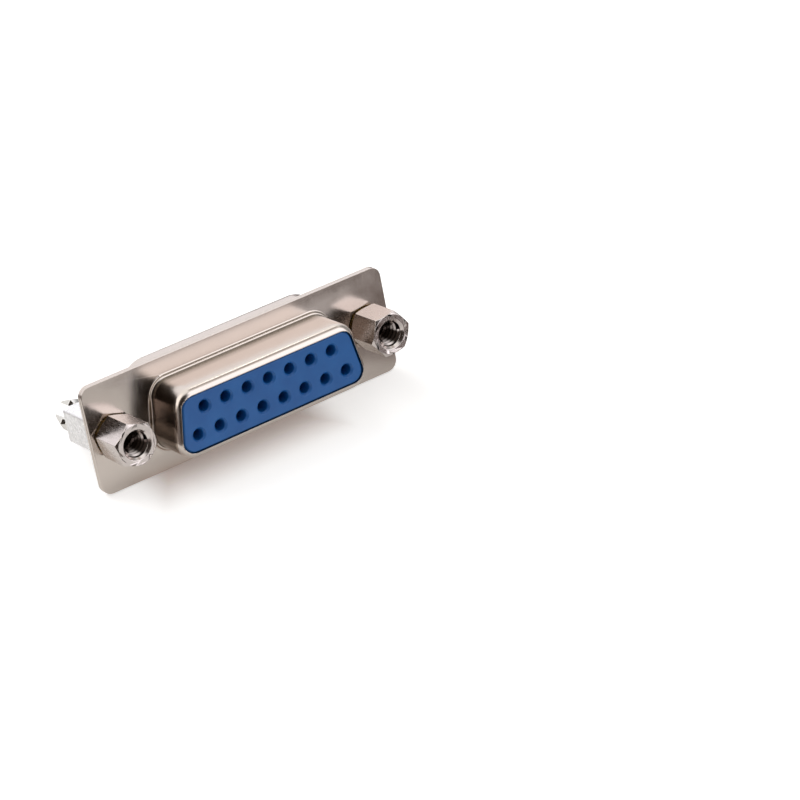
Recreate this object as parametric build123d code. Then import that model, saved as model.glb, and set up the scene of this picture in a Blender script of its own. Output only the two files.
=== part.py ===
from build123d import *
import math
import os

os.makedirs("parts", exist_ok=True)

# Frame: X along the flange, minus Y the way the plug comes in, Z up on the narrow side.
# The origin is the middle of the flange's front face. Sizes are in millimetres.

# Screws and flange
screw_spacing = 33.32
screw_hole = 3.05
flange_margin = 2.91
flange_height = 12.55
flange_corner = 1.25
plate = 0.4

# Front hood, a D-shaped drawn cup, its bottom pierced so that a lip turns inwards at the mouth
side_angle = 10.0
hood_width = 25.3
hood_height = 7.9
hood_corner = 2.1
hood_reach = 5.6
hood_rim_round = 0.8
mouth_width = 24.13
mouth_height = 6.33
mouth_corner = 1.45
mouth_drop = 0.07
base_step_out = 0.27
base_step_reach = 0.4
base_step_round = 0.18
base_step_root = 0.18

# Rear hood
rear_width = 28.4
rear_height = 10.9
rear_corner = 3.2
rear_reach = 4.2
rear_round = 1.5
rear_window_inset = 1.5

# Clearance between neighbours
fit_gap = 0.06

# Insulators
face_recess = 0.12
nose_side_gap = 0.12
nose_bevel = 0.12
collar_end = 1.6
block_end = 6.4
block_bevel = 0.45
face_web = 1.9
key_groove_width = 0.35
key_groove_depth = 0.3

# Contacts
upper_count = 7
lower_count = 8
pitch = 2.77
row_gap = 2.84
entry_bore = 1.25
entry_rim = 1.7
cell_bore = 1.9
socket_outer = 1.7
socket_inner = 1.05
socket_depth = 3.6
socket_length = 4.0
socket_slit = 0.25
collar_length = 0.4
shank_width = 1.06
pocket_width = 1.5
pocket_depth = 0.8
barrel_outer = 1.2
barrel_inner = 0.84
barrel_seam = 0.36
barrel_proud = 0.4
tail_width = 0.62
tail_seam = 0.13
tail_tip = 11.3
tail_chamfer = 0.12

# Screwlocks, each turned as far as it was tightened
hex_sides = 6
hex_across = 4.6
hex_length = 4.65
hex_turns = {-1: 42.5, 1: 6.5}
hex_chamfer = 0.22
hex_collar_width = 4.1
hex_collar_length = 0.28
thread_width = 2.84
thread_core = 2.24
thread_depth = 4.1
sink_width = 3.45
shank_end = 5.6
shank_chamfer = 0.3

# Brackets, folded from sheet and open towards the middle, with widths from the screw's axis
bracket_inward = 1.26
bracket_foot = 2.06
bracket_outward = 2.04
bracket_height = 4.1
bracket_sheet = 0.5
bracket_end = 7.1
bracket_round = 0.5
root_slit = 0.12

# Board locks, a two-legged fork riveted into each bracket, turned as far as it came to rest
lock_turns = {-1: 40.0, 1: 0.0}
plug_width = 2.1
head_width = 2.7
head_thick = 0.3
neck_width = 2.9
barb_start = 8.65
barb_peak = 8.95
barb_width = 3.7
lock_tip = 11.45
lock_tip_width = 2.3
leg_gap_base = 1.7
leg_gap_tip = 1.3
leg_neck_half = 0.78
leg_barb_half = 1.2
leg_tip_half = 0.68

screw_x = screw_spacing / 2
flange_width = screw_spacing + 2 * flange_margin
bracket_inner = screw_x - bracket_inward
bracket_outer = screw_x + bracket_outward
flange_back = plate * 2
rear_end = flange_back + rear_reach
face_y = -(hood_reach - face_recess)
lean = math.tan(math.radians(side_angle))
slant = 1 / math.cos(math.radians(side_angle))


def d_outline(width, height, corner, inset):
    high = height / 2 - inset
    wide = width / 2 - inset * (lean + slant)
    narrow = wide - 2 * high * lean
    points = [(-wide, -high), (wide, -high), (narrow, high), (-narrow, high)]
    face = make_face(Polyline(*points, close=True))
    return fillet(face.vertices(), max(corner - inset, 0.3))


def slab(outline, front, back):
    place = Plane((0, back, 0), x_dir=(1, 0, 0), z_dir=(0, -1, 0))
    return extrude(place * outline, amount=back - front)


def front_d(inset, front, back):
    return slab(d_outline(hood_width, hood_height, hood_corner, inset), front, back)


def rear_d(inset, front, back):
    return slab(d_outline(rear_width, rear_height, rear_corner, inset), front, back)


def mouth_d(narrower, inset, front, back):
    outline = d_outline(mouth_width - 2 * narrower, mouth_height, mouth_corner, inset)
    return Pos(0, 0, -mouth_drop) * slab(outline, front, back)


def rod(x, z, width, front, back):
    middle = (front + back) / 2
    return Pos(x, middle, z) * Rot(90, 0, 0) * Cylinder(width / 2, back - front)


def turned(x, z, points):
    face = make_face(Polyline(*points, close=True))
    return Pos(x, 0, z) * revolve(face, Axis.Y, 360)


def block(x0, x1, y0, y1, z0, z1):
    middle = ((x0 + x1) / 2, (y0 + y1) / 2, (z0 + z1) / 2)
    return Pos(*middle) * Box(abs(x1 - x0), abs(y1 - y0), abs(z1 - z0))


def front_edges(solid):
    return solid.edges().group_by(Axis.Y)[0]


def back_edges(solid):
    return solid.edges().group_by(Axis.Y)[-1]


def contact_places():
    places = []
    for count, side in ((upper_count, 1), (lower_count, -1)):
        for step in range(count):
            x = (step - (count - 1) / 2) * pitch
            places.append((x, side * row_gap / 2))
    return places


def screw_holes(solid, front, back):
    for side in (-1, 1):
        solid -= rod(side * screw_x, 0, screw_hole, front, back)
    return solid


def flange_plate(front, back):
    return slab(RectangleRounded(flange_width, flange_height, flange_corner), front, back)


def front_shell():
    hood = front_d(0, -hood_reach, plate)
    hood = fillet(front_edges(hood), hood_rim_round)
    step = front_d(-base_step_out, -base_step_reach, plate)
    step = fillet(front_edges(step), base_step_round)
    solid = flange_plate(0, plate) + step
    foot = solid.edges().filter_by_position(Axis.Y, 0, 0)
    foot = foot.filter_by_position(Axis.X, -rear_width / 2, rear_width / 2)
    foot = foot.filter_by_position(Axis.Z, -rear_height / 2, rear_height / 2)
    cavity = front_d(plate, plate - hood_reach, plate)
    cavity = fillet(front_edges(cavity), hood_rim_round - plate)
    solid = fillet(foot, base_step_root) + hood
    solid -= cavity
    solid -= mouth_d(0, 0, -hood_reach, plate)
    return screw_holes(solid, 0, plate)


def rear_shell():
    hood = rear_d(0, plate, rear_end)
    hood = fillet(back_edges(hood), rear_round)
    cavity = rear_d(plate, plate, rear_end - plate)
    cavity = fillet(back_edges(cavity), rear_round - plate)
    solid = flange_plate(plate, flange_back) + hood
    solid -= cavity
    solid -= rear_d(rear_window_inset, plate, rear_end)
    return screw_holes(solid, plate, flange_back)


def front_insulator():
    behind_lip = plate + fit_gap
    nose = mouth_d(nose_side_gap, fit_gap, face_y, plate)
    nose = chamfer(front_edges(nose), nose_bevel)
    body = front_d(behind_lip, behind_lip - hood_reach, plate)
    body = fillet(front_edges(body), hood_rim_round - behind_lip)
    solid = nose + body + rear_d(plate + fit_gap, plate, collar_end)
    cell_front = face_y + face_web
    entry_depth = (entry_rim - entry_bore) / 2
    for x, z in contact_places():
        solid -= rod(x, z, cell_bore, cell_front, collar_end)
        points = [(0, face_y), (entry_rim / 2, face_y), (entry_bore / 2, face_y + entry_depth)]
        points += [(entry_bore / 2, cell_front), (0, cell_front)]
        solid -= turned(x, z, points)
    return solid


def rear_insulator():
    body_back = rear_end - plate - fit_gap
    body = rear_d(plate + fit_gap, collar_end, body_back)
    body = chamfer(back_edges(body), rear_round - plate)
    boss = rear_d(rear_window_inset + fit_gap, body_back, block_end)
    boss = chamfer(back_edges(boss), block_bevel)
    solid = body + boss
    half = rear_width / 2 - rear_window_inset
    for side in (-1, 1):
        x = side * (half - rear_corner)
        low = -rear_height / 2
        solid -= block(x - key_groove_width / 2, x + key_groove_width / 2, rear_end,
                       block_end, low, low + rear_window_inset + fit_gap + key_groove_depth)
    for x, z in contact_places():
        solid -= rod(x, z, shank_width + fit_gap, collar_end, block_end)
        solid -= rod(x, z, pocket_width, block_end - pocket_depth, block_end)
    return solid


def contact(x, z):
    socket_front = face_y + face_web + fit_gap
    socket_back = socket_front + socket_length
    collar_front = collar_end - collar_length
    collar = (cell_bore - 2 * fit_gap) / 2
    barrel_front = block_end - pocket_depth + fit_gap
    shank_back = block_end - pocket_depth / 2
    barrel_back = block_end + barrel_proud
    points = [(0, socket_front + socket_depth), (socket_inner / 2, socket_front + socket_depth)]
    points += [(socket_inner / 2, socket_front), (socket_outer / 2, socket_front)]
    points += [(socket_outer / 2, socket_back), (shank_width / 2, socket_back)]
    points += [(shank_width / 2, collar_front), (collar, collar_front), (collar, collar_end)]
    points += [(shank_width / 2, collar_end), (shank_width / 2, shank_back), (0, shank_back)]
    solid = turned(x, z, points)
    solid -= block(x - socket_slit / 2, x + socket_slit / 2, socket_front,
                   socket_front + socket_depth, z - socket_outer, z + socket_outer)
    barrel = rod(x, z, barrel_outer, barrel_front, barrel_back)
    barrel -= rod(x, z, barrel_inner, barrel_front, barrel_back)
    barrel -= block(x - barrel_seam / 2, x + barrel_seam / 2, barrel_front, barrel_back,
                    z - barrel_outer, z)
    tail = chamfer(back_edges(rod(x, z, tail_width, shank_back, tail_tip)), tail_chamfer)
    tail -= block(x - tail_seam / 2, x + tail_seam / 2, barrel_back, tail_tip,
                  z - tail_width, z)
    return solid + barrel + tail


def screwlock(side):
    flat = hex_across / 2
    radius = flat / math.cos(math.pi / hex_sides)
    body = slab(Rot(0, 0, hex_turns[side]) * RegularPolygon(radius, hex_sides), -hex_length, 0)
    points = [(0, -hex_length), (flat, -hex_length), (radius, hex_chamfer - hex_length)]
    points += [(radius, -hex_collar_length - hex_chamfer), (flat, -hex_collar_length)]
    points += [(hex_collar_width / 2, -hex_collar_length), (hex_collar_width / 2, 0), (0, 0)]
    body = Pos(side * screw_x, 0, 0) * body & turned(side * screw_x, 0, points)
    body += rod(side * screw_x, 0, thread_width, 0, flange_back + bracket_sheet)
    core = rod(side * screw_x, 0, thread_core, 0, shank_end)
    body += chamfer(back_edges(core), shank_chamfer)
    sink = (sink_width - thread_width) / 2
    bottom = thread_depth - hex_length
    bore = [(0, -hex_length), (sink_width / 2, -hex_length)]
    bore += [(thread_width / 2, sink - hex_length), (thread_width / 2, bottom), (0, bottom)]
    bore_solid = turned(side * screw_x, 0, bore)
    return body - bore_solid


def bracket(side):
    top = bracket_height / 2
    solid = block(side * bracket_inner, side * bracket_outer, flange_back, bracket_end, -top, top)
    wall = solid.faces().sort_by(Axis.X)[-1 if side > 0 else 0]
    solid = fillet(wall.edges().filter_by(Axis.Y), bracket_round)
    solid -= block(side * bracket_inner, side * (bracket_outer - bracket_sheet),
                   flange_back + bracket_sheet, bracket_end - bracket_sheet,
                   bracket_sheet - top, top - bracket_sheet)
    for level in (-1, 1):
        solid -= block(side * bracket_inner, side * bracket_outer, flange_back,
                       flange_back + root_slit, level * (top - bracket_sheet), level * top)
    solid += block(side * (screw_x - bracket_foot), side * screw_x, flange_back, flange_back + bracket_sheet,
                   bracket_sheet - top, top - bracket_sheet)
    solid -= rod(side * screw_x, 0, thread_width, flange_back, flange_back + bracket_sheet)
    solid -= rod(side * screw_x, 0, plug_width, bracket_end - bracket_sheet, bracket_end)
    return solid


def board_lock(side):
    inside = bracket_end - bracket_sheet
    head_front = inside - head_thick
    tip_round = lock_tip_width / 8
    points = [(0, head_front), (head_width / 2, head_front), (head_width / 2, inside)]
    points += [(plug_width / 2, inside), (plug_width / 2, bracket_end)]
    points += [(neck_width / 2, bracket_end), (neck_width / 2, barb_start)]
    points += [(barb_width / 2, barb_peak), (lock_tip_width / 2, lock_tip - tip_round)]
    points += [(lock_tip_width / 2 - tip_round, lock_tip), (0, lock_tip)]
    solid = turned(0, 0, points)
    slot = [(leg_gap_base / 2, bracket_end), (leg_gap_tip / 2, lock_tip)]
    slot += [(-leg_gap_tip / 2, lock_tip), (-leg_gap_base / 2, bracket_end)]
    slot_face = Plane.YZ * make_face(Polyline(*[(y, z) for z, y in slot], close=True))
    solid -= extrude(slot_face, amount=barb_width, both=True)
    for hand in (-1, 1):
        outside = [(leg_neck_half, bracket_end), (leg_neck_half, barb_start)]
        outside += [(leg_barb_half, barb_peak), (leg_tip_half, lock_tip)]
        outside += [(barb_width, lock_tip), (barb_width, bracket_end)]
        face = make_face(Polyline(*[(hand * x, y) for x, y in outside], close=True))
        solid -= extrude(face, amount=barb_width, both=True)
    return Pos(side * screw_x, 0, 0) * Rot(0, lock_turns[side], 0) * solid


def keep(solid, name):
    solids = solid.solids()
    if len(solids) != 1:
        raise ValueError(name + " is not one solid")
    export_step(solids[0], "parts/" + name + ".step")


keep(front_shell(), "front_shell")
keep(rear_shell(), "rear_shell")
keep(front_insulator(), "front_insulator")
keep(rear_insulator(), "rear_insulator")
for number, (contact_x, contact_z) in enumerate(contact_places(), 1):
    keep(contact(contact_x, contact_z), "contact_%02d" % number)
for hand_name, hand_side in (("left", -1), ("right", 1)):
    keep(screwlock(hand_side), "screwlock_" + hand_name)
    keep(bracket(hand_side), "bracket_" + hand_name)
    keep(board_lock(hand_side), "board_lock_" + hand_name)
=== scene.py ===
import math

import bmesh
import bpy
from mathutils import Matrix, Vector


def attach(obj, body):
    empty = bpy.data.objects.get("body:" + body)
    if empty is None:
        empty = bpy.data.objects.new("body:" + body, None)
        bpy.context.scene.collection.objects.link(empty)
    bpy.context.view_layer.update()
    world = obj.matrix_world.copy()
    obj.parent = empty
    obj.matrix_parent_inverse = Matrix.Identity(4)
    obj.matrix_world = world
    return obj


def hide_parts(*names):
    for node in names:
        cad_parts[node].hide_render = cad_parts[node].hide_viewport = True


mm = 0.001  # one millimetre in scene units; every length in the settings is in millimetres
bodyName = "root"

# Fitted to the photograph, in the part's own frame
cameraSettings = {
    "place": (-144.99, -266.82, 121.58),
    "aim": (12.70, -10.29, -5.03),
    "up": (0.35967, 0.22575, 0.90536),
    "focalLength": 135.0,
    "sensorWidth": 36.0,
    "clip": (10.0, 2000.0),
}

# The part leans back on its flange's lower edge and on its rear hood
tableSettings = {
    "leanBack": 15.8,  # degrees
    "edge": (0.0, 0.8, -6.275),  # where the flange stands on it
    "gap": 0.02,
    "radius": 150.0,
    "sides": 96,
    "colour": "#F6F4F2",
    "lift": 0.49,  # extra white that only the camera sees
    "mirrorLift": 0.14,  # and that only mirrors see
    "paintedShadowColour": "#F5E2D8",  # painted shadow close to the part: a warmer colour with less added white
    "paintedShadowLift": 0.12,
    "paintedShadowMiddle": (-3.0, 4.0),  # the painted shadow's middle in X and Y
    "paintedShadowFrom": (8.0, 3.5),  # how far from there it starts to fade
    "paintedShadowTo": (13.5, 10.5),  # and where it ends
    "shade": "#746865",  # what mirrors see of the table far to both sides
    "shadeMiddle": -6.0,
    "shadeFrom": 21.0,
    "shadeTo": 36.0,
}

# Where mirrors see the studio bright or dark: directions with an inner and an outer angle in degrees.
# A later field covers an earlier one.
studioSettings = {
    "backdrop": 1.0,  # what the camera sees
    "softLight": 0.55,  # what matt surfaces get from all round
    "between": 0.40,  # what mirrors see outside the fields
    "fields": {
        "backWall": {"towards": (0.15, 0.97, 0.18), "light": "#FBFAFF", "level": 1.28,
                     "inner": 38.0, "outer": 80.0},
        "roof": {"towards": (0.05, 0.10, 0.99), "light": "#FFFFFF", "level": 1.4,
                 "inner": 25.0, "outer": 60.0},
        "rightWindow": {"towards": (0.44, -0.86, 0.27), "light": "#FAF9FF", "level": 2.0,
                        "inner": 22.0, "outer": 36.0},
        "windowFrame": {"towards": (0.44, -0.24, 0.87), "light": "#B8AEA6", "level": 1.0,
                        "inner": 5.0, "outer": 15.0},
        "leftWindow": {"towards": (-0.80, 0.05, 0.60), "light": "#FFFBF8", "level": 1.8,
                       "inner": 22.0, "outer": 40.0},
        "darkSide": {"towards": (-0.50, -0.85, 0.15), "light": "#332B26", "level": 1.0,
                     "inner": 34.0, "outer": 50.0},
    },
}

# A mirrored lamp gives highlights only, and the others light matt surfaces only
lampSettings = {
    "overheadLamp": {"place": (-90.0, 140.0, 300.0), "size": 260.0, "watts": 0.55, "mirrored": False},
    "rightLamp": {"place": (180.0, -300.0, 190.0), "size": 200.0, "watts": 0.10, "mirrored": False},
    "keyLamp": {"place": (176.0, 46.0, 357.0), "size": 50.0, "watts": 0.024, "mirrored": True},
}


def linearColour(hexValue):
    parts = [int(hexValue[i:i + 2], 16) / 255 for i in (1, 3, 5)]
    straight = [v / 12.92 if v <= 0.04045 else ((v + 0.055) / 1.055) ** 2.4 for v in parts]
    return (*straight, 1.0)


def addNode(tree, kind, settings=None, links=None):
    node = tree.nodes.new("ShaderNode" + kind)
    for key, value in (settings or {}).items():
        if isinstance(key, int) or key in node.inputs:
            node.inputs[key].default_value = value
        else:
            setattr(node, key, value)
    for key, source in (links or {}).items():
        tree.links.new(source, node.inputs[key])
    return node


def newMaterial(name):
    material = bpy.data.materials.new(name)
    material.use_nodes = True
    material.node_tree.nodes.clear()
    return material, material.node_tree


def pointOf(values):
    return Vector(values) * mm


# Surfaces

plateSettings = {
    "colour": "#CBC1B8",
    "roughness": (0.15, 0.26),
    "glossRange": (0.12, 0.42),  # the part of the pattern that varies the roughness
    "grainWidth": 0.05,
    "grainLength": 1.6,
    "mottle": 2.5,
    "bump": 0.05,
    "bumpDepth": 0.004,
    "rootPaintedShade": "#7D7467",  # painted shade in the corner at the front hood's root
    "root": (-0.40, -2.0),  # how it fades in Y
    "stepShadeLine": (-0.26, -0.14),  # the same painted shade, as a line round the step
    "endWallPaintedShade": "#776A5F",  # painted shade on the hood's end walls
    "endLean": 0.1763,  # how far they lean in as they rise
    "end": (11.2, 11.8),  # where they start, from the middle
    "endStop": (-4.4, -4.9),  # how that fades in Y towards the bright lip
}


def makeSatinPlate():
    # Nickel plate on drawn steel sheet: a warm grey mirror, softened by the sheet's rolled grain
    s = plateSettings
    material, tree = newMaterial("satinNickelPlate")
    coords = addNode(tree, "TexCoord").outputs["Object"]
    parts = addNode(tree, "SeparateXYZ", {}, {0: coords}).outputs
    wide, long = 1 / (s["grainWidth"] * mm), 1 / (s["grainLength"] * mm)
    grainPlace = addNode(tree, "Mapping", {"Scale": (wide, wide, long)}, {"Vector": coords})
    grain = addNode(tree, "TexNoise", {"Scale": 1.0, "Detail": 3.0, "Roughness": 0.6},
                    {"Vector": grainPlace.outputs["Vector"]})
    mottle = addNode(tree, "TexNoise", {"Scale": 1 / (s["mottle"] * mm), "Detail": 4.0},
                     {"Vector": coords})
    mixed = addNode(tree, "Math", {"operation": "MULTIPLY"},
                    {0: grain.outputs["Fac"], 1: mottle.outputs["Fac"]})
    rough = addNode(tree, "MapRange", {"From Min": s["glossRange"][0], "From Max": s["glossRange"][1],
                                       "To Min": s["roughness"][0], "To Max": s["roughness"][1]},
                    {"Value": mixed.outputs[0]})
    bump = addNode(tree, "Bump", {"Strength": s["bump"], "Distance": s["bumpDepth"] * mm},
                   {"Height": grain.outputs["Fac"]})

    # Plate without painted shade: the hood away from its root, and the step and all behind it but for
    # the shade line round the step
    away = addNode(tree, "MapRange", {"From Min": s["root"][0] * mm, "From Max": s["root"][1] * mm},
                   {"Value": parts["Y"]})
    behind = addNode(tree, "Math", {"operation": "GREATER_THAN", 1: s["root"][0] * mm},
                     {0: parts["Y"]})
    middle, half = sum(s["stepShadeLine"]) / 2 * mm, (s["stepShadeLine"][1] - s["stepShadeLine"][0]) / 2 * mm
    stepShadeLine = addNode(tree, "Math", {"operation": "COMPARE", 1: middle, 2: half}, {0: parts["Y"]})
    behind = addNode(tree, "Math", {"operation": "SUBTRACT"},
                     {0: behind.outputs[0], 1: stepShadeLine.outputs[0]})
    unshadedPlate = addNode(tree, "Math", {"operation": "MAXIMUM"},
                    {0: away.outputs[0], 1: behind.outputs[0]})
    colour = addNode(tree, "Mix", {"data_type": "RGBA", 6: linearColour(s["rootPaintedShade"]),
                                   7: linearColour(s["colour"])}, {0: unshadedPlate.outputs[0]})

    # Painted shade on the end walls: far out in X for their height, in front of the step and behind
    # the lip
    across = addNode(tree, "Math", {"operation": "ABSOLUTE"}, {0: parts["X"]})
    across = addNode(tree, "Math", {"operation": "MULTIPLY_ADD", 1: s["endLean"]},
                     {0: parts["Z"], 2: across.outputs[0]})
    end = addNode(tree, "MapRange", {"From Min": s["end"][0] * mm, "From Max": s["end"][1] * mm},
                  {"Value": across.outputs[0]})
    before = addNode(tree, "Math", {"operation": "LESS_THAN", 1: s["root"][0] * mm},
                     {0: parts["Y"]})
    lip = addNode(tree, "MapRange", {"From Min": s["endStop"][1] * mm,
                                     "From Max": s["endStop"][0] * mm}, {"Value": parts["Y"]})
    end = addNode(tree, "Math", {"operation": "MULTIPLY"},
                  {0: end.outputs["Result"], 1: before.outputs[0]})
    end = addNode(tree, "Math", {"operation": "MULTIPLY"},
                  {0: end.outputs[0], 1: lip.outputs["Result"]})
    colour = addNode(tree, "Mix", {"data_type": "RGBA", 7: linearColour(s["endWallPaintedShade"])},
                     {0: end.outputs[0], 6: colour.outputs[2]})
    shader = addNode(tree, "BsdfPrincipled", {"Metallic": 1.0},
                     {"Base Color": colour.outputs[2], "Roughness": rough.outputs["Result"],
                      "Normal": bump.outputs["Normal"]})
    addNode(tree, "OutputMaterial", links={"Surface": shader.outputs[0]})
    return material


nickelSettings = {
    "colour": "#CFC6C1",
    "roughness": (0.16, 0.30),
    "glossRange": (0.35, 0.7),
    "markWidth": 0.16,
    "markLength": 0.9,
    "bump": 0.09,
    "bumpDepth": 0.006,
    "screwX": 16.66,
    # Painted shade down the mouth: its colour, and where it lies
    "borePaintedShade": "#5A524E",
    "boreRoughness": 0.14,
    "boreRadius": 1.62,
    "wallRadius": 1.385,  # outside the thread's crests
    "bore": (-4.1, -2.3),  # how the painted shade deepens down the mouth in Y
    "collarColour": "#A8935F",  # the yellower ring at the foot of the hexagon
    "collar": -0.3,
}


def makeBrightNickel():
    # Bright nickel on turned brass: a soft mirror with marks along the bar, and painted shade down the
    # mouth
    s = nickelSettings
    material, tree = newMaterial("brightNickel")
    coords = addNode(tree, "TexCoord").outputs["Object"]
    parts = addNode(tree, "SeparateXYZ", {}, {0: coords}).outputs
    wide, long = 1 / (s["markWidth"] * mm), 1 / (s["markLength"] * mm)
    along = addNode(tree, "Mapping", {"Scale": (wide, long, wide)}, {"Vector": coords})
    marks = addNode(tree, "TexNoise", {"Scale": 1.0, "Detail": 2.0, "Roughness": 0.55},
                    {"Vector": along.outputs["Vector"]})
    rough = addNode(tree, "MapRange", {"From Min": s["glossRange"][0], "From Max": s["glossRange"][1],
                                       "To Min": s["roughness"][0], "To Max": s["roughness"][1]},
                    {"Value": marks.outputs["Fac"]})
    bump = addNode(tree, "Bump", {"Strength": s["bump"], "Distance": s["bumpDepth"] * mm},
                   {"Height": marks.outputs["Fac"]})

    # The mouth: close to either screw's axis and in front of the flange
    across = addNode(tree, "Math", {"operation": "ABSOLUTE"}, {0: parts["X"]})
    across = addNode(tree, "Math", {"operation": "SUBTRACT", 1: s["screwX"] * mm},
                     {0: across.outputs[0]})
    flat = addNode(tree, "CombineXYZ", {}, {"X": across.outputs[0], "Z": parts["Z"]})
    radius = addNode(tree, "VectorMath", {"operation": "LENGTH"}, {0: flat.outputs[0]})
    inside = addNode(tree, "Math", {"operation": "LESS_THAN", 1: s["boreRadius"] * mm},
                     {0: radius.outputs["Value"]})
    front = addNode(tree, "Math", {"operation": "LESS_THAN", 1: 0.0}, {0: parts["Y"]})
    bore = addNode(tree, "Math", {"operation": "MULTIPLY"},
                   {0: inside.outputs[0], 1: front.outputs[0]})

    # The painted shade is darkest deep down and between the thread's crests
    deep = addNode(tree, "MapRange", {"From Min": s["bore"][0] * mm, "From Max": s["bore"][1] * mm},
                   {"Value": parts["Y"]})
    wall = addNode(tree, "Math", {"operation": "GREATER_THAN", 1: s["wallRadius"] * mm},
                   {0: radius.outputs["Value"]})
    behind = addNode(tree, "Math", {"operation": "GREATER_THAN", 1: s["bore"][0] * mm},
                     {0: parts["Y"]})
    wall = addNode(tree, "Math", {"operation": "MULTIPLY"},
                   {0: wall.outputs[0], 1: behind.outputs[0]})
    deep = addNode(tree, "Math", {"operation": "MAXIMUM"},
                   {0: deep.outputs["Result"], 1: wall.outputs[0]})
    deep = addNode(tree, "Math", {"operation": "MULTIPLY"},
                   {0: deep.outputs[0], 1: bore.outputs[0]})
    colour = addNode(tree, "Mix", {"data_type": "RGBA", 6: linearColour(s["colour"]),
                                   7: linearColour(s["borePaintedShade"])}, {0: deep.outputs[0]})
    collar = addNode(tree, "Math", {"operation": "GREATER_THAN", 1: s["collar"] * mm},
                     {0: parts["Y"]})
    collar = addNode(tree, "Math", {"operation": "MULTIPLY"},
                     {0: collar.outputs[0], 1: front.outputs[0]})
    colour = addNode(tree, "Mix", {"data_type": "RGBA", 7: linearColour(s["collarColour"])},
                     {0: collar.outputs[0], 6: colour.outputs[2]})
    rough = addNode(tree, "Mix", {3: s["boreRoughness"]},
                    {0: bore.outputs[0], 2: rough.outputs["Result"]})
    shader = addNode(tree, "BsdfPrincipled", {"Metallic": 1.0},
                     {"Base Color": colour.outputs[2], "Roughness": rough.outputs[0],
                      "Normal": bump.outputs["Normal"]})
    addNode(tree, "OutputMaterial", links={"Surface": shader.outputs[0]})
    return material


tinSettings = {
    "colours": ("#F2F1F1", "#E0DFDE"),
    "toneRange": (0.1, 0.35),  # the part of the pattern that goes from the one colour to the other
    "roughness": (0.26, 0.42),
    "crystal": 0.35,
    "speckle": 0.12,
    "bump": 0.08,
    "bumpDepth": 0.004,
}


def makeTinPlate():
    # Dull tin plate on folded steel: pale grey, mottled by its crystals and rubbed bright in specks
    s = tinSettings
    material, tree = newMaterial("dullTinPlate")
    coords = addNode(tree, "TexCoord").outputs["Object"]
    crystal = addNode(tree, "TexVoronoi", {"feature": "SMOOTH_F1", "Scale": 1 / (s["crystal"] * mm)},
                      {"Vector": coords})
    speckle = addNode(tree, "TexNoise", {"Scale": 1 / (s["speckle"] * mm), "Detail": 3.0},
                      {"Vector": coords})
    mixed = addNode(tree, "Math", {"operation": "MULTIPLY"},
                    {0: crystal.outputs["Distance"], 1: speckle.outputs["Fac"]})
    tone = addNode(tree, "MapRange", {"From Min": s["toneRange"][0], "From Max": s["toneRange"][1]},
                   {"Value": mixed.outputs[0]})
    colour = addNode(tree, "Mix", {"data_type": "RGBA", 6: linearColour(s["colours"][0]),
                                   7: linearColour(s["colours"][1])},
                     {0: tone.outputs["Result"]})
    rough = addNode(tree, "MapRange", {"To Min": s["roughness"][0], "To Max": s["roughness"][1]},
                    {"Value": tone.outputs["Result"]})
    bump = addNode(tree, "Bump", {"Strength": s["bump"], "Distance": s["bumpDepth"] * mm},
                   {"Height": mixed.outputs[0]})
    shader = addNode(tree, "BsdfPrincipled", {"Metallic": 1.0},
                     {"Base Color": colour.outputs[2], "Roughness": rough.outputs["Result"],
                      "Normal": bump.outputs["Normal"]})
    addNode(tree, "OutputMaterial", links={"Surface": shader.outputs[0]})
    return material


forkSettings = {
    "colour": "#DEDCD8",
    "roughness": (0.10, 0.22),
    "glossRange": (0.3, 0.7),
    "rollWidth": 0.08,
    "rollStretch": 12.0,  # how much longer than wide the lines are
    "bump": 0.1,
    "bumpDepth": 0.005,
}


def makeBrightTin():
    # Bright tin on phosphor bronze: a pale mirror with the stamped strip's faint lines along it
    s = forkSettings
    material, tree = newMaterial("brightTin")
    coords = addNode(tree, "TexCoord").outputs["Object"]
    fine = 1 / (s["rollWidth"] * mm)
    lines = addNode(tree, "Mapping", {"Scale": (fine, fine / s["rollStretch"], fine)},
                    {"Vector": coords})
    noise = addNode(tree, "TexNoise", {"Scale": 1.0, "Detail": 3.0},
                    {"Vector": lines.outputs["Vector"]})
    rough = addNode(tree, "MapRange", {"From Min": s["glossRange"][0], "From Max": s["glossRange"][1],
                                       "To Min": s["roughness"][0], "To Max": s["roughness"][1]},
                    {"Value": noise.outputs["Fac"]})
    bump = addNode(tree, "Bump", {"Strength": s["bump"], "Distance": s["bumpDepth"] * mm},
                   {"Height": noise.outputs["Fac"]})
    shader = addNode(tree, "BsdfPrincipled",
                     {"Base Color": linearColour(s["colour"]), "Metallic": 1.0},
                     {"Roughness": rough.outputs["Result"], "Normal": bump.outputs["Normal"]})
    addNode(tree, "OutputMaterial", links={"Surface": shader.outputs[0]})
    return material


goldSettings = {
    "colours": ("#E6BE6A", "#CFA150"),
    "toneRange": (0.35, 0.65),
    "roughness": (0.16, 0.30),
    "glossRange": (0.3, 0.7),
    "patch": 0.8,
    "rollWidth": 0.04,
    "rollStretch": 20.0,
    "bump": 0.12,
    "bumpDepth": 0.004,
}


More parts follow.
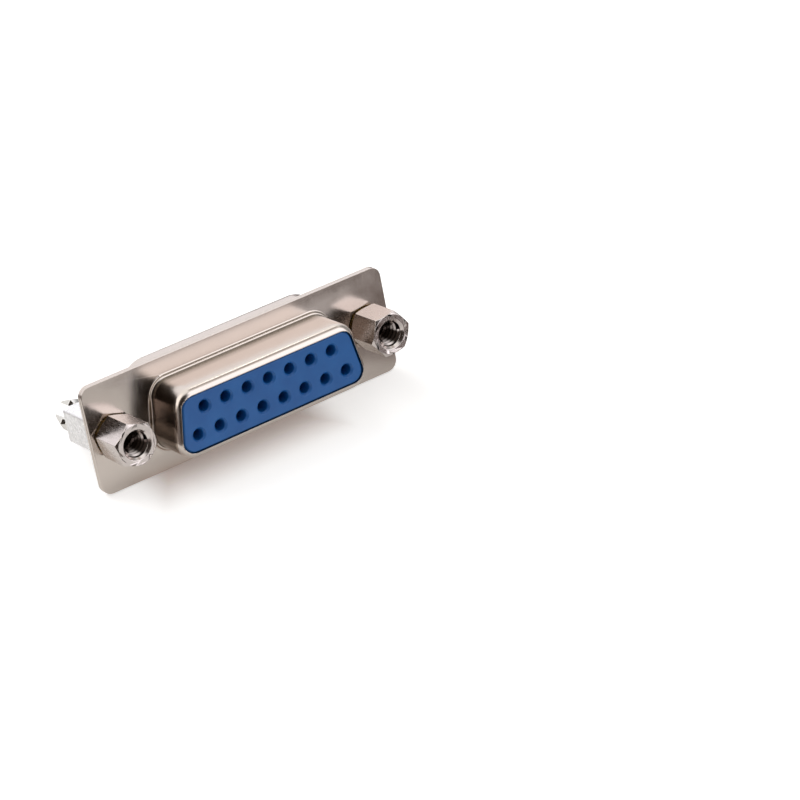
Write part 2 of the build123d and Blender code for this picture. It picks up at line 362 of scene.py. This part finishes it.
def makeGoldPlate():
    # Thin gold on rolled copper strip: warm yellow, redder where it is thinnest, with roll lines
    s = goldSettings
    material, tree = newMaterial("goldPlate")
    coords = addNode(tree, "TexCoord").outputs["Object"]
    patch = addNode(tree, "TexNoise", {"Scale": 1 / (s["patch"] * mm), "Detail": 3.0},
                    {"Vector": coords})
    fine = 1 / (s["rollWidth"] * mm)
    lines = addNode(tree, "Mapping", {"Scale": (fine, fine / s["rollStretch"], fine)},
                    {"Vector": coords})
    noise = addNode(tree, "TexNoise", {"Scale": 1.0, "Detail": 2.0},
                    {"Vector": lines.outputs["Vector"]})
    tone = addNode(tree, "MapRange", {"From Min": s["toneRange"][0], "From Max": s["toneRange"][1]},
                   {"Value": patch.outputs["Fac"]})
    colour = addNode(tree, "Mix", {"data_type": "RGBA", 6: linearColour(s["colours"][0]),
                                   7: linearColour(s["colours"][1])},
                     {0: tone.outputs["Result"]})
    rough = addNode(tree, "MapRange", {"From Min": s["glossRange"][0], "From Max": s["glossRange"][1],
                                       "To Min": s["roughness"][0], "To Max": s["roughness"][1]},
                    {"Value": noise.outputs["Fac"]})
    bump = addNode(tree, "Bump", {"Strength": s["bump"], "Distance": s["bumpDepth"] * mm},
                   {"Height": noise.outputs["Fac"]})
    shader = addNode(tree, "BsdfPrincipled", {"Metallic": 1.0},
                     {"Base Color": colour.outputs[2], "Roughness": rough.outputs["Result"],
                      "Normal": bump.outputs["Normal"]})
    addNode(tree, "OutputMaterial", links={"Surface": shader.outputs[0]})
    return material


mouldingSettings = {
    "colours": ("#0E599F", "#1661A8"),
    "toneRange": (0.35, 0.65),
    "roughness": (0.34, 0.46),
    "glossRange": (0.3, 0.7),
    "flow": 3.0,
    "grit": 0.07,
    "bump": 0.08,
    "bumpDepth": 0.006,
    "ior": 1.55,
}


def makeBlueMoulding():
    # Glass-filled polyester, moulded: an even blue with a low sheen and a very fine grit
    s = mouldingSettings
    material, tree = newMaterial("blueMoulding")
    coords = addNode(tree, "TexCoord").outputs["Object"]
    flow = addNode(tree, "TexNoise", {"Scale": 1 / (s["flow"] * mm), "Detail": 4.0},
                   {"Vector": coords})
    grit = addNode(tree, "TexNoise", {"Scale": 1 / (s["grit"] * mm), "Detail": 2.0},
                   {"Vector": coords})
    tone = addNode(tree, "MapRange", {"From Min": s["toneRange"][0], "From Max": s["toneRange"][1]},
                   {"Value": flow.outputs["Fac"]})
    colour = addNode(tree, "Mix", {"data_type": "RGBA", 6: linearColour(s["colours"][0]),
                                   7: linearColour(s["colours"][1])},
                     {0: tone.outputs["Result"]})
    rough = addNode(tree, "MapRange", {"From Min": s["glossRange"][0], "From Max": s["glossRange"][1],
                                       "To Min": s["roughness"][0], "To Max": s["roughness"][1]},
                    {"Value": grit.outputs["Fac"]})
    bump = addNode(tree, "Bump", {"Strength": s["bump"], "Distance": s["bumpDepth"] * mm},
                   {"Height": grit.outputs["Fac"]})
    shader = addNode(tree, "BsdfPrincipled", {"IOR": s["ior"]},
                     {"Base Color": colour.outputs[2], "Roughness": rough.outputs["Result"],
                      "Normal": bump.outputs["Normal"]})
    addNode(tree, "OutputMaterial", links={"Surface": shader.outputs[0]})
    return material


# Pieces

dressSettings = {
    "mergeWithin": 0.001,
    "flatWithin": 0.2,  # degrees between faces that are one flat face
    "sharpFrom": 30.0,  # degrees
    "segments": 2,
    # How far each kind of edge is rounded
    "edges": {"sheet": 0.05, "nose": 0.04, "moulding": 0.05, "turned": 0.05, "contact": 0.0},
}


def addPiece(name, mesh, material):
    piece = bpy.data.objects.new(name, mesh)
    bpy.context.scene.collection.objects.link(piece)
    mesh.materials.clear()
    mesh.materials.append(material)
    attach(piece, bodyName)
    return piece


def dressNode(nodeName, material, edgeRound):
    s = dressSettings
    mesh = bpy.data.meshes.new(nodeName + "_skin")
    bm = bmesh.new()
    bm.from_mesh(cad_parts[nodeName].data)
    bmesh.ops.remove_doubles(bm, verts=bm.verts, dist=s["mergeWithin"] * mm)
    bmesh.ops.dissolve_limit(bm, angle_limit=math.radians(s["flatWithin"]),
                             verts=bm.verts, edges=bm.edges)
    for face in bm.faces:
        face.smooth = True
    bm.to_mesh(mesh)
    bm.free()
    for name in [a.name for a in mesh.attributes if a.name in ("custom_normal", "material_index")]:
        mesh.attributes.remove(mesh.attributes[name])
    piece = addPiece(nodeName + "_skin", mesh, material)
    if edgeRound:
        bevel = piece.modifiers.new("edgeRound", "BEVEL")
        bevel.width = edgeRound * mm
        bevel.segments = s["segments"]
        bevel.limit_method = "ANGLE"
        bevel.angle_limit = math.radians(s["sharpFrom"])
        bevel.use_clamp_overlap = False
        bevel.harden_normals = True
    else:
        mesh.set_sharp_from_angle(angle=math.radians(s["sharpFrom"]))
    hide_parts(nodeName)
    return piece


# The size 4-40 thread of the screwlocks, with widths along the axis
threadSettings = {
    "pitch": 0.635,
    "crestWidth": 0.08,
    "rootWidth": 0.44,
    "stepsPerTurn": 36,
    "sharpFrom": 40.0,  # degrees
    "screwX": 16.66,
    "mouth": {"root": 1.43, "crest": 1.20, "front": -4.22, "back": -0.60},
    "stud": {"root": 1.10, "crest": 1.41, "front": 1.33, "back": 5.35},
}


def makeThread(name, side, sizes, material):
    # One helical ridge: its outline is spun about the screw's axis while it moves along it
    s = threadSettings
    axisX = side * s["screwX"]
    outline = [(sizes["root"], 0.0),
               (sizes["crest"], (s["rootWidth"] - s["crestWidth"]) / 2),
               (sizes["crest"], (s["rootWidth"] + s["crestWidth"]) / 2),
               (sizes["root"], s["rootWidth"])]
    turns = (sizes["back"] - sizes["front"] - s["rootWidth"]) / s["pitch"]
    steps = round(turns * s["stepsPerTurn"])
    bm = bmesh.new()
    corners = [bm.verts.new(pointOf((axisX + r, sizes["front"] + y, 0.0))) for r, y in outline]
    start = bm.faces.new(corners)
    bmesh.ops.spin(bm, geom=[start], cent=pointOf((axisX, 0.0, 0.0)), axis=(0, 1, 0),
                   dvec=pointOf((0.0, s["pitch"] / s["stepsPerTurn"], 0.0)),
                   angle=math.radians(360) * steps / s["stepsPerTurn"], steps=steps,
                   use_duplicate=False)
    bmesh.ops.recalc_face_normals(bm, faces=bm.faces)
    for face in bm.faces:
        face.smooth = True
    mesh = bpy.data.meshes.new(name)
    bm.to_mesh(mesh)
    bm.free()
    mesh.set_sharp_from_angle(angle=math.radians(s["sharpFrom"]))
    return addPiece(name, mesh, material)


# Studio

def makeCamera():
    s = cameraSettings
    data = bpy.data.cameras.new("camera")
    data.lens = s["focalLength"]
    data.sensor_width = s["sensorWidth"]
    data.clip_start, data.clip_end = [c * mm for c in s["clip"]]
    camera = bpy.data.objects.new("camera", data)
    back = (pointOf(s["place"]) - pointOf(s["aim"])).normalized()
    right = Vector(s["up"]).cross(back).normalized()
    turn = Matrix((right, back.cross(right), back)).transposed()
    camera.matrix_world = Matrix.Translation(pointOf(s["place"])) @ turn.to_4x4()
    bpy.context.scene.collection.objects.link(camera)
    bpy.context.scene.camera = camera


def makeTable():
    # Matt white paper: it keeps the part's soft shadow; white is added for the camera, and less of it
    # close to the part, where a warmer painted shadow lies
    s = tableSettings
    material, tree = newMaterial("paleTable")
    rays = addNode(tree, "LightPath").outputs
    seen = addNode(tree, "Math", {"operation": "MAXIMUM"},
                   {0: rays["Is Camera Ray"], 1: rays["Is Transmission Ray"]})
    coords = addNode(tree, "TexCoord").outputs["Object"]
    parts = addNode(tree, "SeparateXYZ", {}, {0: coords}).outputs
    # The painted shadow's patch: how far each point lies outside it in X and in Y
    reaches = []
    for axis, letter in enumerate("XY"):
        away = addNode(tree, "Math", {"operation": "SUBTRACT", 1: s["paintedShadowMiddle"][axis] * mm},
                       {0: parts[letter]})
        away = addNode(tree, "Math", {"operation": "ABSOLUTE"}, {0: away.outputs[0]})
        reaches.append(addNode(tree, "MapRange", {"interpolation_type": "SMOOTHSTEP",
                                                  "From Min": s["paintedShadowFrom"][axis] * mm,
                                                  "From Max": s["paintedShadowTo"][axis] * mm},
                               {"Value": away.outputs[0]}).outputs["Result"])
    far = addNode(tree, "Math", {"operation": "MAXIMUM"}, {0: reaches[0], 1: reaches[1]})
    lift = addNode(tree, "MapRange", {"To Min": s["paintedShadowLift"], "To Max": s["lift"]},
                   {"Value": far.outputs[0]})
    lift = addNode(tree, "Math", {"operation": "MULTIPLY"},
                   {0: seen.outputs[0], 1: lift.outputs["Result"]})
    lift = addNode(tree, "Math", {"operation": "MULTIPLY_ADD", 1: s["mirrorLift"]},
                   {0: rays["Is Glossy Ray"], 2: lift.outputs[0]})
    colour = addNode(tree, "Mix", {"data_type": "RGBA", 6: linearColour(s["paintedShadowColour"]),
                                   7: linearColour(s["colour"])}, {0: far.outputs[0]})
    paper = addNode(tree, "BsdfDiffuse", {}, {"Color": colour.outputs[2]})
    glow = addNode(tree, "Emission", {}, {"Strength": lift.outputs[0]})
    both = addNode(tree, "AddShader", {}, {0: paper.outputs[0], 1: glow.outputs[0]})

    # Far to both sides mirrors see a plain shade instead
    across = addNode(tree, "Math", {"operation": "SUBTRACT", 1: s["shadeMiddle"] * mm},
                     {0: parts["X"]})
    across = addNode(tree, "Math", {"operation": "ABSOLUTE"}, {0: across.outputs[0]})
    shade = addNode(tree, "MapRange", {"interpolation_type": "SMOOTHSTEP",
                                       "From Min": s["shadeFrom"] * mm, "From Max": s["shadeTo"] * mm},
                    {"Value": across.outputs[0]})
    shade = addNode(tree, "Math", {"operation": "MULTIPLY"},
                    {0: shade.outputs["Result"], 1: rays["Is Glossy Ray"]})
    dim = addNode(tree, "Emission", {"Color": linearColour(s["shade"])})
    both = addNode(tree, "MixShader", {}, {0: shade.outputs[0], 1: both.outputs[0], 2: dim.outputs[0]})

    # From below the table is clear, so that it hides nothing
    clear = addNode(tree, "BsdfTransparent")
    under = addNode(tree, "NewGeometry").outputs["Backfacing"]
    side = addNode(tree, "MixShader", {}, {0: under, 1: both.outputs[0], 2: clear.outputs[0]})
    addNode(tree, "OutputMaterial", links={"Surface": side.outputs[0]})
    bm = bmesh.new()
    bmesh.ops.create_circle(bm, cap_ends=True, radius=s["radius"] * mm, segments=s["sides"])
    lean = Matrix.Rotation(math.radians(s["leanBack"]), 4, "X")
    edge = pointOf(s["edge"]) - lean @ Vector((0, 0, s["gap"] * mm))
    bmesh.ops.transform(bm, matrix=Matrix.Translation(edge) @ lean, verts=bm.verts)
    mesh = bpy.data.meshes.new("table")
    bm.to_mesh(mesh)
    bm.free()
    table = bpy.data.objects.new("table", mesh)
    mesh.materials.append(material)
    bpy.context.scene.collection.objects.link(table)


def makeStudio():
    s = studioSettings
    world = bpy.data.worlds.new("studio")
    bpy.context.scene.world = world
    world.use_nodes = True
    tree = world.node_tree
    tree.nodes.clear()
    towards = addNode(tree, "TexCoord").outputs["Generated"]
    level = s["between"]
    mirrored = addNode(tree, "CombineColor", {"Red": level, "Green": level, "Blue": level}).outputs[0]
    for field in s["fields"].values():
        turn = addNode(tree, "VectorMath", {"operation": "DOT_PRODUCT",
                                            1: Vector(field["towards"]).normalized()}, {0: towards})
        share = addNode(tree, "MapRange", {"interpolation_type": "SMOOTHSTEP",
                                           "From Min": math.cos(math.radians(field["outer"])),
                                           "From Max": math.cos(math.radians(field["inner"]))},
                        {"Value": turn.outputs["Value"]})
        light = tuple(c * field["level"] for c in linearColour(field["light"])[:3]) + (1.0,)
        mirrored = addNode(tree, "Mix", {"data_type": "RGBA", 7: light},
                           {0: share.outputs["Result"], 6: mirrored}).outputs[2]
    rays = addNode(tree, "LightPath").outputs
    shiny = addNode(tree, "Background", {}, {"Color": mirrored})
    soft = addNode(tree, "Background", {"Strength": s["softLight"]})
    white = addNode(tree, "Background", {"Strength": s["backdrop"]})
    for plain in (soft, white):
        plain.inputs["Color"].default_value = (1.0, 1.0, 1.0, 1.0)
    other = addNode(tree, "MixShader", {}, {0: rays["Is Glossy Ray"], 1: soft.outputs[0],
                                            2: shiny.outputs[0]})
    clear = addNode(tree, "Math", {"operation": "MAXIMUM"},
                    {0: rays["Is Camera Ray"], 1: rays["Is Transmission Ray"]})
    both = addNode(tree, "MixShader", {}, {0: clear.outputs[0], 1: other.outputs[0],
                                           2: white.outputs[0]})
    addNode(tree, "OutputWorld", links={"Surface": both.outputs[0]})
    for name, lamp in lampSettings.items():
        data = bpy.data.lights.new(name, "AREA")
        data.shape = "SQUARE"
        data.size = lamp["size"] * mm
        data.energy = lamp["watts"]
        light = bpy.data.objects.new(name, data)
        place = pointOf(lamp["place"])
        turn = place.to_track_quat("Z", "Y").to_matrix().to_4x4()
        light.matrix_world = Matrix.Translation(place) @ turn
        light.visible_glossy = lamp["mirrored"]
        light.visible_diffuse = not lamp["mirrored"]
        light.visible_camera = False
        bpy.context.scene.collection.objects.link(light)
    bpy.context.scene.view_settings.view_transform = "Standard"


print("loading the frame")
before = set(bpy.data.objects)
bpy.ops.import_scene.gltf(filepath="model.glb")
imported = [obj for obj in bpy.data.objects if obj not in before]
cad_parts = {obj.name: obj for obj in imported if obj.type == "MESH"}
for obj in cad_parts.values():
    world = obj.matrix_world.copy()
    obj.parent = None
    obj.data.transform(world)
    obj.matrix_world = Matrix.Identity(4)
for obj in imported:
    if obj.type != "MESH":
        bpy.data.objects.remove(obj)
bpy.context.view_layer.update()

print("making the camera, the table and the studio")
makeCamera()
makeTable()
makeStudio()

print("mixing the surfaces")
satinPlate = makeSatinPlate()
brightNickel = makeBrightNickel()
tinPlate = makeTinPlate()
brightTin = makeBrightTin()
goldPlate = makeGoldPlate()
blueMoulding = makeBlueMoulding()

print("dressing the shells and mouldings")
edges = dressSettings["edges"]
dressNode("front_shell", satinPlate, edges["sheet"])
dressNode("rear_shell", satinPlate, edges["sheet"])
dressNode("front_insulator", blueMoulding, edges["nose"])
dressNode("rear_insulator", blueMoulding, edges["moulding"])

print("dressing the contacts")
for nodeName in sorted(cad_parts):
    if nodeName.startswith("contact_"):
        dressNode(nodeName, goldPlate, edges["contact"])

print("dressing the screwlocks, brackets and board locks")
for hand, side in (("left", -1), ("right", 1)):
    dressNode("screwlock_" + hand, brightNickel, edges["turned"])
    dressNode("bracket_" + hand, tinPlate, edges["sheet"])
    dressNode("board_lock_" + hand, brightTin, edges["turned"])
    makeThread("mouth_thread_" + hand, side, threadSettings["mouth"], brightNickel)
    makeThread("stud_thread_" + hand, side, threadSettings["stud"], brightNickel)
